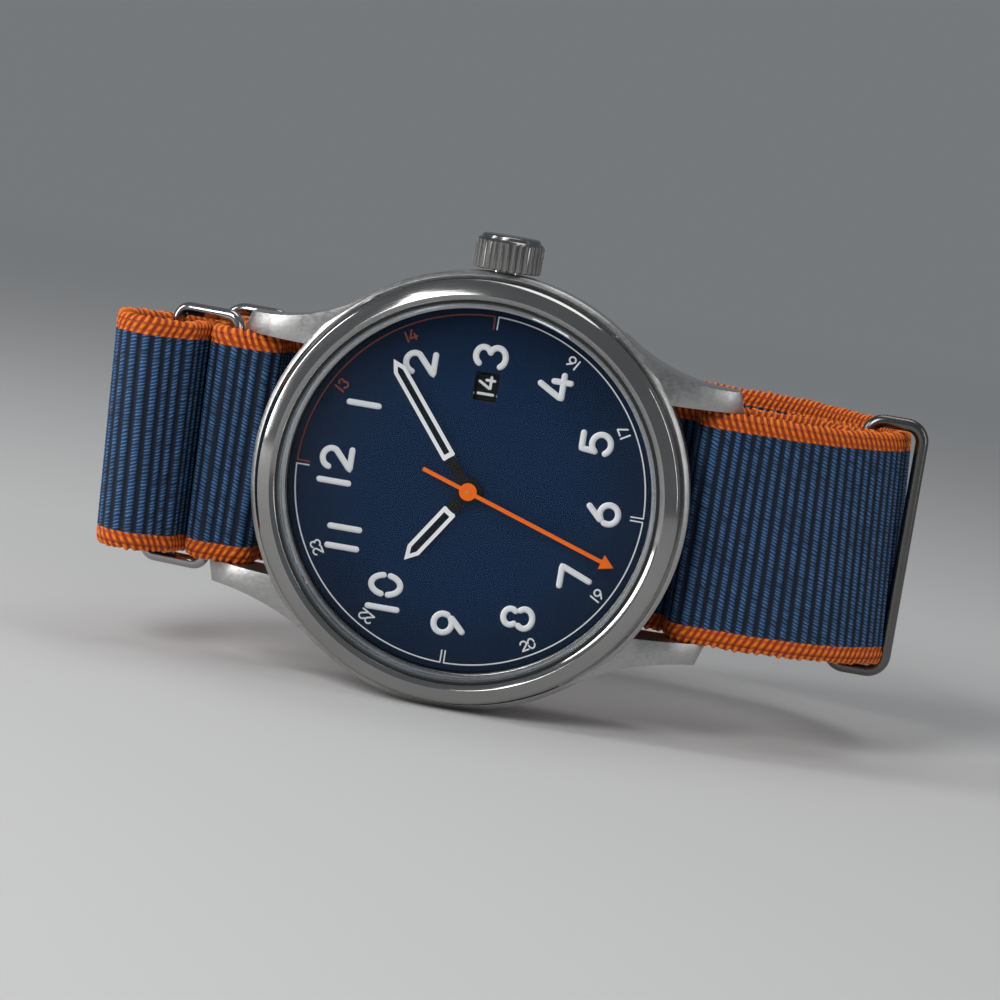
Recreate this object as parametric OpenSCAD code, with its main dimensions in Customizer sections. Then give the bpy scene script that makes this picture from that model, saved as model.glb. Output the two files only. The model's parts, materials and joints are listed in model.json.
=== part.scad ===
// Three-hand field wristwatch with a date, on a pull-through woven strap closed into a loop.
// Frame: the origin is the middle of the crystal's outer face. The dial looks along -Y,
// the crown (3 o'clock) points along +Z and 6 o'clock along +X. Depth is measured along +Y
// from the crystal's outer face. Lengths are in millimetres.

/* [Case] */
// Diameter of the case middle
case_d = 41; // [40.4:0.1:42]
// Diameter of the bezel
bezel_d = 39.5; // [39:0.1:39.6]
// Depth of the case back's outer face
case_depth = 10.2; // [10.1:0.05:10.4]
// Distance between the inner faces of a pair of lugs
lug_gap = 22; // [22:0.1:22.4]
// Distance from lug tip to lug tip
lug_to_lug = 47.8; // [47.6:0.1:48.2]
// Distance from the dial centre to a spring bar
spring_bar_x = 22.2; // [22.1:0.05:22.4]
// Depth of the spring bars
spring_bar_depth = 7.9; // [7.8:0.05:8]

/* [Crystal and dial] */
// Thickness of the crystal
crystal_t = 1.6; // [1.2:0.1:1.6]
// Radius of the crystal
crystal_r = 17.55; // [17.5:0.01:17.56]
// Depth of the dial's face
dial_depth = 3.3; // [3.25:0.05:3.35]
// Thickness of the dial
dial_t = 0.4; // [0.3:0.05:0.4]
// Radius at which the date window sits
date_r = 9.8; // [9.6:0.1:9.9]
// Date window: length along 12-6 and along 9-3
date_window = [2.25, 2.7]; // [2:0.05:2.7]

/* [Hands] */
// Length of the hour hand
hour_len = 8.9; // [8:0.1:10]
// Length of the minute hand
minute_len = 14.1; // [13:0.1:14.6]
// Length of the seconds hand
seconds_len = 15.2; // [14.4:0.1:15.6]
// Length of the seconds hand's tail
seconds_tail = 4.7; // [4:0.1:5.4]
// Time shown: hour, minute, second
shown_time = [10, 8, 33]; // [0:1:59]

/* [Crown] */
// Diameter of the crown
crown_d = 6.4; // [6:0.1:6.6]
// Distance from the dial centre to the crown's end
crown_end = 23.9; // [23.8:0.05:24.2]
// Depth of the crown's axis
crown_depth = 5.2; // [5.15:0.05:5.25]
// Number of flutes around the crown
crown_flutes = 32; // [24:2:36]

/* [Strap] */
// Width of the webbing
strap_w = 21.7; // [21:0.1:21.8]
// Thickness of the webbing
strap_t = 1.2; // [1:0.05:1.2]
// Radius of the round wire of the end ring and the keepers
wire_r = 0.62; // [0.5:0.02:0.62]
// Radius of the buckle's wire
buckle_wire_r = 0.8; // [0.7:0.05:0.8]

/* [Hidden] */
$fn = 96;
eps = 0.01;
slip = 0.02;                 // gap that parts a press fit
case_r = case_d / 2;
bezel_r = bezel_d / 2;
lug_half_gap = lug_gap / 2;
lug_tip_x = lug_to_lug / 2;

// depths of the case's steps
case_top = 2.3;
case_lip = 2.05;
bezel_seat = 3.2;
holder_front = 3.74;
holder_back = 7.9;
back_ledge = 8.0;
case_bottom = 9.4;
bore_r = 17.35;
neck_r = 18.7;
thread_r = 17.9;

// movement: radii and depths
plate_r = 12.8;
plate_rim = 3.74;
date_shelf = 4.0;
motion_floor = 4.85;
plate_back = 5.5;
bridge_front = 7.0;
bridge_t = 0.25;
date_pocket_r = 11.5;
motion_pocket_r = 8.2;

// gear train: teeth, modules, axes and depths
third_teeth = 60;
third_pinion = 8;
fourth_pinion = 8;
centre_teeth = 64;
train_m = 0.09;
centre_m = 0.085;
motion_m = 0.1;
cannon_teeth = 10;
minute_teeth = 30;
minute_pinion = 8;
hour_teeth = 32;
date_teeth = 64;
fourth_teeth = 50;
step_pinion = 10;
step_teeth = 48;
rotor_pinion = 8;
fourth_m = 0.105;
rotor_m = 0.07;
third_dir = -30;
step_dir = 190;
rotor_dir = 160;
minute_dir = -110;
date_dir = 60;
function polar(r, a) = [r * cos(a), r * sin(a)];
function centre_distance(a, b, m) = (a + b) / 2 * m;
third_at = polar(centre_distance(third_teeth, fourth_pinion, train_m), third_dir);
step_at = polar(centre_distance(fourth_teeth, step_pinion, fourth_m), step_dir);
rotor_at = step_at + polar(centre_distance(step_teeth, rotor_pinion, rotor_m), rotor_dir);
minute_at = polar(centre_distance(cannon_teeth, minute_teeth, motion_m), minute_dir);
date_at = polar(centre_distance(hour_teeth, date_teeth, motion_m), date_dir);
arbor_r = 0.15;
bridge_screws = [polar(6.2, 20), polar(6.2, 258), polar(6.4, 110)];
clamp_screws = [[-2.2, -8.8], [-11, -2.6]];
battery_at = [-6.4, -5.7];
battery_r = 3.4;

// hands: depths and angles from 12 o'clock, clockwise as the wearer sees the dial
hour_depth = 2.9;
minute_depth = 2.5;
seconds_depth = 2.1;
hand_t = 0.15;
second_angle = shown_time[2] * 6;
minute_angle = (shown_time[1] + shown_time[2] / 60) * 6;
hour_angle = (shown_time[0] + shown_time[1] / 60) * 30;
cannon_r = 0.4;
hour_pipe_r = 0.75;

// crown and keyless works
crown_r = crown_d / 2;
crown_base = case_r + 0.15;
stem_r = 0.45;
stem_end = 5.6;
tube_r = 1.5;
tube_out = 22.4;
lever_arm = 2.6;
crown_travel = 1.2;
lever_pivot = [lever_arm, 10.2];
lever_angle = asin(crown_travel / 2 / lever_arm);

// strap: the webbing's centre line in the X-Y plane, as corners [x, y, bend radius]
bar_wrap = 1.5;
under_case_y = case_depth + 0.1 + strap_t / 2;
buckle_at = [-14, 34];
buckle_len = 9.4;
buckle_dir = 36;
far_bar = buckle_at + polar(buckle_len, buckle_dir);
main_route = [
    [buckle_at[0], buckle_at[1], 0],
    [-21.2, 26.5, 14], [-23, 18.5, 20], [-26.8, 6.05, 1.8],
    [-20.75, 6.4, bar_wrap], [-20.2, under_case_y, 1],
    [20.2, under_case_y, 1], [20.75, 6.4, bar_wrap],
    [32.5, 7, 14], [40.2, 15, 10], [40, 28, 13], [30.5, 37.5, 14],
    [13, 41.2, 30], [-5.8, 37.7, 12], [-15.5, 36.4, 7],
    [-22.7, 27.2, 15], [-24.5, 18.7, 21], [-28.45, 5.4, 1.2],
    [-33.9, 1.7, 2.7], [-35.3, 9.6, 3], [-26.6, 18.2, 5], [-25.4, 26, 0]
];
under_route = [
    [-21.9, 17.8, 0], [-23.4, 12.5, 2.2], [20, 12.4, 8], [28, 16.6, 12], [35.6, 15.2, 0]
];
end_ring_at = [38.25, 15.2];
end_ring_span = 5.3;
ring_half_w = 11.95;
keeper_front_at = [-27.655, 9.021];
keeper_rear_at = [-24.55, 19.6];
keeper_front_span = 6;
keeper_rear_span = 6.6;
keeper_front_tilt = -10;
keeper_rear_tilt = -8;
hole_at = [-11.6, 37.1];
collar_r = buckle_wire_r + 0.9;
tongue_route = [buckle_at, [-11.9, 35.2], [-10.9, 38.6],
                far_bar + polar(1.3, buckle_dir + 90) + polar(1, buckle_dir)];

// ---- helpers -------------------------------------------------------------

// a flat shape drawn in X-Z, from depth d over thickness t
module slab(d, t) translate([0, d + t, 0]) rotate([90, 0, 0]) linear_extrude(t) children();

// a body turned about the hand axis from a profile of [radius, depth]
module turned(profile) rotate([-90, 0, 0]) rotate_extrude() polygon(profile);

// a disc or ring about an axis at [x, z] parallel to the hand axis
module round_slab(at, r, d, t, hole = 0) slab(d, t) translate(at) difference() {
    circle(r);
    if (hole > 0) circle(hole);
}

// a body turned about the crown's axis from a profile of [radius, z]
module crown_turned(profile) translate([0, crown_depth, 0]) rotate_extrude() polygon(profile);

// a gear's outline with one tooth centred on the direction dir
module gear(teeth, m, dir) {
    r = teeth * m / 2;
    step = 360 / teeth;
    polygon([for (i = [0 : teeth - 1], k = [-1.1, 0.8])
        each let (h = k < 0 ? 0.27 : 0.1, s = k < 0 ? [-h] : [-h, h], q = r + k * m)
            concat([for (w = s) polar(q, dir + (i + w) * step)],
                   k < 0 ? [] : [polar(r - 1.1 * m, dir + (i + 0.27) * step)])]);
}

// a wheel: a gear with round lightening holes and a bore
module wheel(at, teeth, m, dir, d, t, bore, spokes = 4) slab(d, t) translate(at) difference() {
    gear(teeth, m, dir);
    circle(bore);
    if (spokes > 0)
        for (i = [0 : spokes - 1])
            translate(polar(teeth * m * 0.28, 45 + i * 360 / spokes)) circle(teeth * m * 0.11);
}

// a closed ring of round wire, w by h over the wire's centre line, in the local X-Y plane
module wire_loop(w, h, r, corner) {
    for (s = [-1, 1]) {
        translate([s * w / 2, 0, 0]) rotate([90, 0, 0])
            cylinder(r = r, h = h - 2 * corner, center = true, $fn = 32);
        translate([0, s * h / 2, 0]) rotate([0, 90, 0])
            cylinder(r = r, h = w - 2 * corner, center = true, $fn = 32);
    }
    for (i = [0 : 3])
        translate([(i == 0 || i == 3 ? 1 : -1) * (w / 2 - corner),
                   (i < 2 ? 1 : -1) * (h / 2 - corner), 0])
            rotate([0, 0, 90 * i]) rotate_extrude(angle = 90)
                translate([corner, 0]) circle(r, $fn = 32);
}

// the points of a route: straight runs joined by arcs at its corners
function unit(v) = v / norm(v);
function xy(p) = [p[0], p[1]];
function bend(a, b, c, r) =
    let (u = unit(a - b), v = unit(c - b), half = acos(u * v) / 2,
         centre = b + unit(u + v) * r / sin(half),
         p = b + u * r / tan(half), q = b + v * r / tan(half),
         from = atan2(p[1] - centre[1], p[0] - centre[0]),
         to = atan2(q[1] - centre[1], q[0] - centre[0]),
         turn = (to - from + 540) % 360 - 180,
         steps = max(2, ceil(abs(turn) / 10)))
    [for (k = [0 : steps]) centre + polar(r, from + turn * k / steps)];
function route_points(c) = concat([xy(c[0])],
    [for (i = [1 : len(c) - 2]) each bend(xy(c[i - 1]), xy(c[i]), xy(c[i + 1]), c[i][2])],
    [xy(c[len(c) - 1])]);
function side(p, i) =
    let (a = p[max(i - 1, 0)], b = p[min(i + 1, len(p) - 1)], t = unit(b - a)) [-t[1], t[0]];
module strip(p, t) {
    n = len(p) - 1;
    polygon(concat([for (i = [0 : n]) p[i] - side(p, i) * t / 2],
                   [for (i = [n : -1 : 0]) p[i] + side(p, i) * t / 2]));
}

// ---- case ----------------------------------------------------------------

module case_body() turned([
    [case_r - 0.4, case_top], [case_r, case_top + 0.35], [case_r, 5.6], [19.4, 7.6],
    [18.5, case_bottom], [thread_r, case_bottom], [thread_r, back_ledge],
    [bore_r, back_ledge], [bore_r, case_top], [17.05, case_top], [17.05, case_lip],
    [neck_r, case_lip], [neck_r, bezel_seat], [bezel_r + 0.3, bezel_seat],
    [bezel_r + 0.3, case_top]
]);

// outline of one lug seen from the front, and its side view
module lug_front() difference() {
    polygon([[8, lug_half_gap], [lug_tip_x, lug_half_gap], [lug_tip_x - 0.75, 13.2],
             [14, 16.6], [11.8, 16.5], [8, 16.5]]);
    translate([22.7, 31.5]) circle(18.5);
}
module lug_side() intersection() {
    translate([13, 17.4]) circle(15);
    polygon([[8, case_top], [lug_tip_x, case_top], [lug_tip_x, 9.2], [lug_tip_x - 0.9, 10],
             [21, 10], [19, case_bottom], [8, case_bottom]]);
}
module lug() difference() {
    intersection() {
        slab(0, 12) lug_front();
        translate([0, 0, 10]) linear_extrude(12) lug_side();
    }
    rotate([-90, 0, 0]) cylinder(r = 19.9, h = 12);
    translate([spring_bar_x, spring_bar_depth, lug_half_gap - 1]) cylinder(r = 0.45, h = 2.15, $fn = 32);
}

module case_middle() color("silver") difference() {
    union() {
        case_body();
        for (sx = [0, 1], sz = [0, 1]) mirror([sx, 0, 0]) mirror([0, 0, sz]) lug();
    }
    translate([0, crown_depth, 16.5]) cylinder(r = tube_r + slip / 2, h = 6);
}

module bezel() color("lightgrey") turned([
    [18.35, 0.03], [19.55, 0.75], [bezel_r, 0.95], [bezel_r, bezel_seat - slip],
    [neck_r + slip, bezel_seat - slip], [neck_r + slip, case_lip - 0.03],
    [17.05, case_lip - 0.03], [17.05, crystal_t + slip], [17.84, crystal_t + slip],
    [17.84, 0.4]
]);

module crystal() color([0.8, 0.9, 1, 0.35]) turned([
    [0, 0], [crystal_r - 0.25, 0], [crystal_r, 0.25], [crystal_r, crystal_t], [0, crystal_t]
]);

module crystal_gasket() color("black")
    round_slab([0, 0], 17.82, 0.55, crystal_t - 0.55, crystal_r + slip / 2);

module flange_ring() color("#10151c") turned([
    [17.3, case_top + slip], [bore_r - slip, case_top + slip], [bore_r - slip, dial_depth],
    [16.95, dial_depth]
]);

module caseback() color("gray") difference() {
    turned([
        [0, 9.1], [16.4, 9.1], [16.4, 8.45], [thread_r - 0.05, 8.45],
        [thread_r - 0.05, case_bottom + slip], [18.4, case_bottom + slip], [18.4, 9.8],
        [17.9, case_depth], [0, case_depth]
    ]);
    for (i = [0 : 5])
        rotate([0, 60 * i, 0]) translate([15.6, case_depth - 0.2, 0]) cube([1.8, 0.8, 2.2], center = true);
}

module caseback_gasket() color("black")
    round_slab([0, 0], thread_r - 0.05, back_ledge + slip, 0.4, bore_r + 0.05);

// ---- dial side -----------------------------------------------------------

module dial() color("#14294a") {
    slab(dial_depth, dial_t) difference() {
        circle(bore_r - 0.05);
        circle(0.95);
        translate([0, date_r]) square(date_window, center = true);
    }
    for (a = [20, 200]) round_slab(polar(12.2, a), 0.38, dial_depth + dial_t - eps, 1.2);
}

module date_ring() color("black") slab(date_shelf - 0.22, 0.2) difference() {
    circle(date_pocket_r - 0.06);
    gear(31, 0.51, 0);
}

// a pencil-shaped outline that points to 12 o'clock, and its slot
module pencil(from, to, w) polygon([
    [-from, w / 2], [-to + w * 0.9, w / 2], [-to, 0], [-to + w * 0.9, -w / 2], [-from, -w / 2]
]);

module pointed(angle) rotate([0, 0, -angle]) children();

module hour_hand() color("white") slab(hour_depth, hand_t) pointed(hour_angle) difference() {
    union() {
        circle(1.25);
        translate([-3, -0.58]) square([3, 1.16]);
        pencil(2.6, hour_len, 1.4);
    }
    circle(hour_pipe_r - 0.03 + slip);
    pencil(3, hour_len - 0.75, 0.66);
}
module hour_hand_lume() color("#1a2634") slab(hour_depth + 0.03, 0.09) pointed(hour_angle)
    pencil(3 + slip, hour_len - 0.77, 0.64);

module minute_hand() color("white") slab(minute_depth, hand_t) pointed(minute_angle) difference() {
    union() {
        circle(1.1);
        translate([-4, -0.52]) square([4, 1.04]);
        pencil(3.65, minute_len, 1.25);
    }
    circle(cannon_r + slip);
    pencil(4.05, minute_len - 0.75, 0.56);
}
module minute_hand_lume() color("#1a2634") slab(minute_depth + 0.03, 0.09) pointed(minute_angle)
    pencil(4.05 + slip, minute_len - 0.77, 0.54);

module seconds_hand() color("orangered") slab(seconds_depth, 0.12) pointed(second_angle) difference() {
    union() {
        circle(0.82);
        translate([-seconds_len + 1, -0.18]) square([seconds_len - 1 + seconds_tail, 0.36]);
        polygon([[-seconds_len, 0], [-seconds_len + 1.25, -0.72], [-seconds_len + 1.25, 0.72]]);
    }
    circle(arbor_r + slip / 2);
}

// ---- movement ------------------------------------------------------------

module movement_holder() color("#d8d8d0") difference() {
    round_slab([0, 0], bore_r - 0.06, holder_front, holder_back - holder_front, plate_r + 0.05);
    translate([-1, crown_depth - 1, 12]) cube([2, 2, 6]);
}

module mainplate() color("#c9b06a") {
    plate();
    round_slab(lever_pivot, 0.27, plate_back - eps, 0.5);
}
module plate() difference() {
    turned([
        [0, motion_floor], [motion_pocket_r, motion_floor], [motion_pocket_r, date_shelf],
        [date_pocket_r, date_shelf], [date_pocket_r, plate_rim], [plate_r, plate_rim],
        [plate_r, plate_back], [0, plate_back]
    ]);
    round_slab([0, 0], 0.5, 4, 2);
    for (p = [third_at, minute_at, date_at, step_at, rotor_at])
        round_slab(p, arbor_r + 0.02, motion_floor - 0.1, 1);
    for (a = [20, 200]) round_slab(polar(12.2, a), 0.4, 3, 2.1);
    translate([-1, 4.3, 5]) cube([2, 2, 9]);
}

module train_bridge() color("#b8bcc0") slab(bridge_front, bridge_t) difference() {
    union() {
        circle(4.6);
        for (p = bridge_screws) hull() {
            translate(p) circle(0.9, $fn = 32);
            circle(1.5, $fn = 32);
        }
        hull() {
            translate(rotor_at) circle(0.9, $fn = 32);
            circle(1.5, $fn = 32);
        }
    }
    for (p = [[0, 0], third_at, step_at, rotor_at]) translate(p) circle(arbor_r + 0.02, $fn = 32);
    for (p = bridge_screws) translate(p) circle(0.36, $fn = 32);
}

// arbors run along the depth from d1 to d2
module arbor(at, d1, d2, r = arbor_r) round_slab(at, r, d1, d2 - d1);

module seconds_wheel() color("gold") {
    arbor([0, 0], seconds_depth - 0.05, 7.2);
    wheel([0, 0], fourth_teeth, fourth_m, step_dir, 6.65, 0.15, arbor_r - eps);
    wheel([0, 0], fourth_pinion, train_m, third_dir, 6.15, 0.35, arbor_r - eps, 0);
}

module third_wheel() color("gold") {
    arbor(third_at, 5.25, 7.2);
    wheel(third_at, third_teeth, train_m, third_dir + 180 + 180 / third_teeth, 6.25, 0.15, arbor_r - eps);
    wheel(third_at, third_pinion, centre_m, third_dir + 180, 5.58, 0.4, arbor_r - eps, 0);
}

module centre_wheel() color("gold") {
    wheel([0, 0], centre_teeth, centre_m, third_dir + 180 / centre_teeth, 5.68, 0.2, cannon_r - eps);
    wheel([0, 0], cannon_teeth, motion_m, minute_dir, 4.42, 0.36, cannon_r - eps, 0);
    round_slab([0, 0], cannon_r, minute_depth, 5.95 - minute_depth, 0.2);
}

module minute_wheel() color("gold") {
    arbor(minute_at, 4.05, 5.45);
    wheel(minute_at, minute_teeth, motion_m, minute_dir + 180 + 180 / minute_teeth, 4.5, 0.2, arbor_r - eps);
    wheel(minute_at, minute_pinion, motion_m, minute_dir + 180, 4.08, 0.34, arbor_r - eps, 0);
}

module hour_wheel() color("gold") {
    slab(4.12, 0.2) difference() {
        gear(hour_teeth, motion_m, minute_dir + 180 / hour_teeth);
        circle(hour_pipe_r - 0.1);
    }
    round_slab([0, 0], hour_pipe_r - 0.03, hour_depth - 0.02, 1.42, 0.45);
}

module date_driving_wheel() color("gold") {
    arbor(date_at, 4.05, 5.45);
    wheel(date_at, date_teeth, motion_m,
          date_dir + 180 + (date_dir - minute_dir) * hour_teeth / date_teeth,
          4.14, 0.16, arbor_r - eps, 6);
}

module intermediate_wheel() color("#d8d8c8") {
    arbor(step_at, 5.25, 7.2);
    wheel(step_at, step_teeth, rotor_m, rotor_dir, 6.25, 0.15, arbor_r - eps, 0);
    wheel(step_at, step_pinion, fourth_m, step_dir + 180 + 180 / step_pinion, 6.6, 0.25, arbor_r - eps, 0);
}

module rotor() color("#8a8a90") {
    arbor(rotor_at, 5.25, 7.2);
    round_slab(rotor_at, 0.6, 5.75, 0.4);
    wheel(rotor_at, rotor_pinion, rotor_m, rotor_dir + 180 + 180 / rotor_pinion, 6.2, 0.3, arbor_r - eps, 0);
}

module stator() color("#9aa0a8") slab(5.96, 0.2) difference() {
    union() {
        translate([-10.1, 5.2]) square([11.5 + rotor_at[0], 1.5]);
        translate([-10.1, -1.9]) square([11.5 + rotor_at[0], 1.3]);
        translate([rotor_at[0] - 1.4, -1.9]) square([2.8, 8.6]);
    }
    translate(rotor_at) circle(0.72);
    translate([-9.3, 2.2]) square([2.4, 5.9], center = true);
}

module coil() color("#a8442a") translate([-9.3, plate_back + 0.62 + slip, 2.2])
    rotate_extrude() polygon([
        [0, -2.9], [0.6, -2.9], [0.6, -2.5], [0.5, -2.5], [0.5, 2.5], [0.6, 2.5],
        [0.6, 2.9], [0, 2.9]
    ]);

// the printed circuit follows the movement's edge; the chip sits on it
module circuit_board() color("darkgreen") {
    slab(6.2, 0.2) intersection() {
        difference() {
            circle(12.5);
            circle(7.2);
        }
        polygon([[0, 0], polar(30, -40), polar(40, 17), polar(30, 75)]);
    }
    slab(6.4 - eps, 0.5) translate([8.8, -1.6]) square([2.2, 2.2], center = true);
}

module quartz_crystal() color("silver")
    translate([10.1, 6.4 + 0.62, 2.9])
        cylinder(r = 0.6, h = 4.6, center = true, $fn = 48);

module battery() color("lightsteelblue") round_slab(battery_at, battery_r, plate_back + slip, 1.75);

module battery_clamp() color("silver") slab(7.3, 0.15) difference() {
    hull() for (p = clamp_screws) translate(p) circle(0.9, $fn = 32);
    for (p = clamp_screws) translate(p) circle(0.36, $fn = 32);
}

// slotted screws that hold the train bridge and the battery clamp
module screw(at, d_under) {
    arbor(at, plate_back + slip, d_under, 0.34);
    slab(d_under, 0.25) translate(at) difference() {
        circle(0.65);
        square([2, 0.16], center = true);
    }
}
module movement_screws() color("slategray") {
    for (p = bridge_screws) screw(p, bridge_front + bridge_t + slip);
    for (p = clamp_screws) screw(p, 7.45 + slip);
}

// ---- crown and keyless works ---------------------------------------------

module crown() color("gray") difference() {
    crown_turned([
        [0, 22.75], [1.62, 22.75], [1.62, 21.92], [1.97, 21.92], [1.97, 21.28], [1.62, 21.28],
        [1.62, crown_base], [crown_r - 0.15, crown_base], [crown_r, crown_base + 0.15],
        [crown_r, 23.2], [crown_r - 0.25, 23.5], [crown_r - 0.4, 23.5],
        [crown_r - 0.5, crown_end - 0.12], [crown_r - 0.7, crown_end], [0, crown_end]
    ]);
    for (i = [0 : crown_flutes - 1])
        translate([0, crown_depth, 20]) rotate([0, 0, 360 * i / crown_flutes])
            translate([crown_r + 0.08, 0, 0]) cylinder(r = 0.24, h = 3.28, $fn = 24);
    translate([0, crown_depth, 22]) cylinder(r = stem_r + slip / 2, h = 1.4);
}

module crown_gasket() color("black")
    crown_turned([[1.53, 21.3], [1.95, 21.3], [1.95, 21.9], [1.53, 21.9]]);

module crown_tube() color("silver") crown_turned([
    [0.6, 17.5], [tube_r, 17.5], [tube_r, tube_out], [0.6, tube_out]
]);

module stem() color("silver") crown_turned([
    [0, stem_end], [stem_r, stem_end], [stem_r, 9.2], [0.25, 9.2], [0.25, 10],
    [stem_r, 10], [stem_r, 23.35], [0, 23.35]
]);

module sliding_pinion() color("goldenrod") crown_turned([
    [stem_r + 0.05, 7.6], [0.8, 7.6], [0.8, 8.05], [0.62, 8.05], [0.62, 8.35], [0.8, 8.35],
    [0.8, 8.8], [stem_r + 0.05, 8.8]
]);

// the lever turns about its pivot and its pin runs in the stem's groove
module setting_lever() color("lightgrey") translate([lever_pivot[0], 0, lever_pivot[1]])
    rotate([0, -lever_angle, 0]) {
        slab(5.72, 0.22) difference() {
            union() {
                translate([-lever_arm - 0.1, -0.3]) square([lever_arm, 0.6]);
                circle(0.75);
            }
            circle(0.3);
        }
        round_slab([-lever_arm, 0], 0.15, 5.49, 0.45);
    }

// ---- spring bars ---------------------------------------------------------

module spring_bar(side_x) color("silver") translate([side_x * spring_bar_x, spring_bar_depth, 0])
    rotate_extrude() polygon([
        [0.5, -10.3], [0.8, -10.3], [0.8, -10], [0.7, -10], [0.7, 10], [0.8, 10],
        [0.8, 10.3], [0.5, 10.3]
    ]);
module spring_tip(side_x, side_z) color("darkgray")
    translate([side_x * spring_bar_x, spring_bar_depth, 0]) mirror([0, 0, side_z < 0 ? 1 : 0])
        rotate_extrude() polygon([
            [0, 8.4], [0.45, 8.4], [0.45, 9], [0.4, 9.1], [0.4, 11.9], [0.3, 12.05], [0, 12.05]
        ]);
module spring_bar_12() spring_bar(-1);
module spring_bar_6() spring_bar(1);
module spring_tip_12_upper() spring_tip(-1, 1);
module spring_tip_12_lower() spring_tip(-1, -1);
module spring_tip_6_upper() spring_tip(1, 1);
module spring_tip_6_lower() spring_tip(1, -1);

// ---- strap and its hardware ----------------------------------------------

// the eye that webbing makes around a bar
module eye(at, bar_r) translate(at) difference() {
    circle(bar_r + 0.1 + 1, $fn = 48);
    circle(bar_r + 0.1, $fn = 48);
}

module main_strap() color("#1d3f73") difference() {
    linear_extrude(strap_w, center = true) {
        difference() {
            strip(route_points(main_route), strap_t);
            translate(buckle_at) circle(buckle_wire_r + 0.5);
        }
        eye(buckle_at, buckle_wire_r);
    }
    translate([buckle_at[0], buckle_at[1], 0]) cylinder(r = collar_r + 0.26, h = 2.8, center = true);
    translate([hole_at[0], hole_at[1], 0]) cube([3.6, 4, 2.2], center = true);
}

module under_strap() color("#1d3f73") linear_extrude(strap_w, center = true) {
    difference() {
        strip(route_points(under_route), strap_t);
        translate(xy(under_route[len(under_route) - 1])) circle(wire_r + 0.5);
    }
    eye(xy(under_route[len(under_route) - 1]), wire_r);
}

// rings stand across the webbing: their long side runs along Z
module strap_ring(at, tilt, span, r, corner) translate([at[0], at[1], 0]) rotate([0, 0, tilt])
    rotate([90, 0, 0]) wire_loop(span, 2 * ring_half_w, r, corner);

module end_ring() color("dimgray") strap_ring(end_ring_at, 0, end_ring_span, wire_r, 1.6);
module keeper_front() color("silver")
    strap_ring(keeper_front_at, keeper_front_tilt, keeper_front_span, wire_r, 1.05);
module keeper_rear() color("silver")
    strap_ring(keeper_rear_at, keeper_rear_tilt, keeper_rear_span, wire_r, 1.8);

module buckle_frame() color("silver")
    strap_ring((buckle_at + far_bar) / 2, buckle_dir, buckle_len, buckle_wire_r, 1.2);

// the tongue turns on the buckle's bar, passes through the strap and lies on the far bar
module buckle_tongue() color("silver") linear_extrude(1.8, center = true) difference() {
    union() {
        translate(buckle_at) circle(collar_r, $fn = 48);
        strip(tongue_route, 0.8);
    }
    translate(buckle_at) circle(buckle_wire_r + 0.05, $fn = 48);
}

case_middle();
bezel();
crystal();
crystal_gasket();
flange_ring();
caseback();
caseback_gasket();
crown_tube();
crown();
crown_gasket();
stem();
movement_holder();
dial();
date_ring();
hour_hand();
hour_hand_lume();
minute_hand();
minute_hand_lume();
seconds_hand();
mainplate();
train_bridge();
seconds_wheel();
third_wheel();
centre_wheel();
minute_wheel();
hour_wheel();
date_driving_wheel();
intermediate_wheel();
rotor();
stator();
coil();
circuit_board();
quartz_crystal();
battery();
battery_clamp();
movement_screws();
setting_lever();
sliding_pinion();
spring_bar_12();
spring_bar_6();
spring_tip_12_upper();
spring_tip_12_lower();
spring_tip_6_upper();
spring_tip_6_lower();
main_strap();
under_strap();
end_ring();
keeper_front();
keeper_rear();
buckle_frame();
buckle_tongue();
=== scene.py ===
import json
import math

import bpy
import numpy as np
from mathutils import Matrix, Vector

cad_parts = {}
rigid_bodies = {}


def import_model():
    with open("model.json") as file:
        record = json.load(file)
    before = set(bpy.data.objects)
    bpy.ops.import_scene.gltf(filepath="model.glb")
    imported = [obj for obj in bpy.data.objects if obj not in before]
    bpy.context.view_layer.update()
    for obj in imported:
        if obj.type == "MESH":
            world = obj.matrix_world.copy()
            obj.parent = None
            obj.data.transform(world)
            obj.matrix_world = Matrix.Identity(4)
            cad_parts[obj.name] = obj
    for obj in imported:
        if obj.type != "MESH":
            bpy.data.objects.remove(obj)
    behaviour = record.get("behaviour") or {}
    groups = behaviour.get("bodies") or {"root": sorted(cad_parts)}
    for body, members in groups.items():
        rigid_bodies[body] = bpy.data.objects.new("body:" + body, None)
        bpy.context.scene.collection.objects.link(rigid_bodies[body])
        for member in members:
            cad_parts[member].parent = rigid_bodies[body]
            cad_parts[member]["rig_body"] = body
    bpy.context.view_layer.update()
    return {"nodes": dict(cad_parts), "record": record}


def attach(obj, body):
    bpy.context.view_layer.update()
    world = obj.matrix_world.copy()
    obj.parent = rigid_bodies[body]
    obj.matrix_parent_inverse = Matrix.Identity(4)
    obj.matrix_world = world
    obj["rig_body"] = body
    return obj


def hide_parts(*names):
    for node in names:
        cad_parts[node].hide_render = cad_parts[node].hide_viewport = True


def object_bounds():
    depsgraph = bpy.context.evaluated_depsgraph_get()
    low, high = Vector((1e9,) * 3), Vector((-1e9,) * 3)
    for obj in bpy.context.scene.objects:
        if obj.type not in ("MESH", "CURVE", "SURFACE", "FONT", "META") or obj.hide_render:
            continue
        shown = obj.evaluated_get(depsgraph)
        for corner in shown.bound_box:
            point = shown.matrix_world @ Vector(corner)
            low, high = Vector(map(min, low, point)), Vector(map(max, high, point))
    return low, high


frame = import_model()

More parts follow.
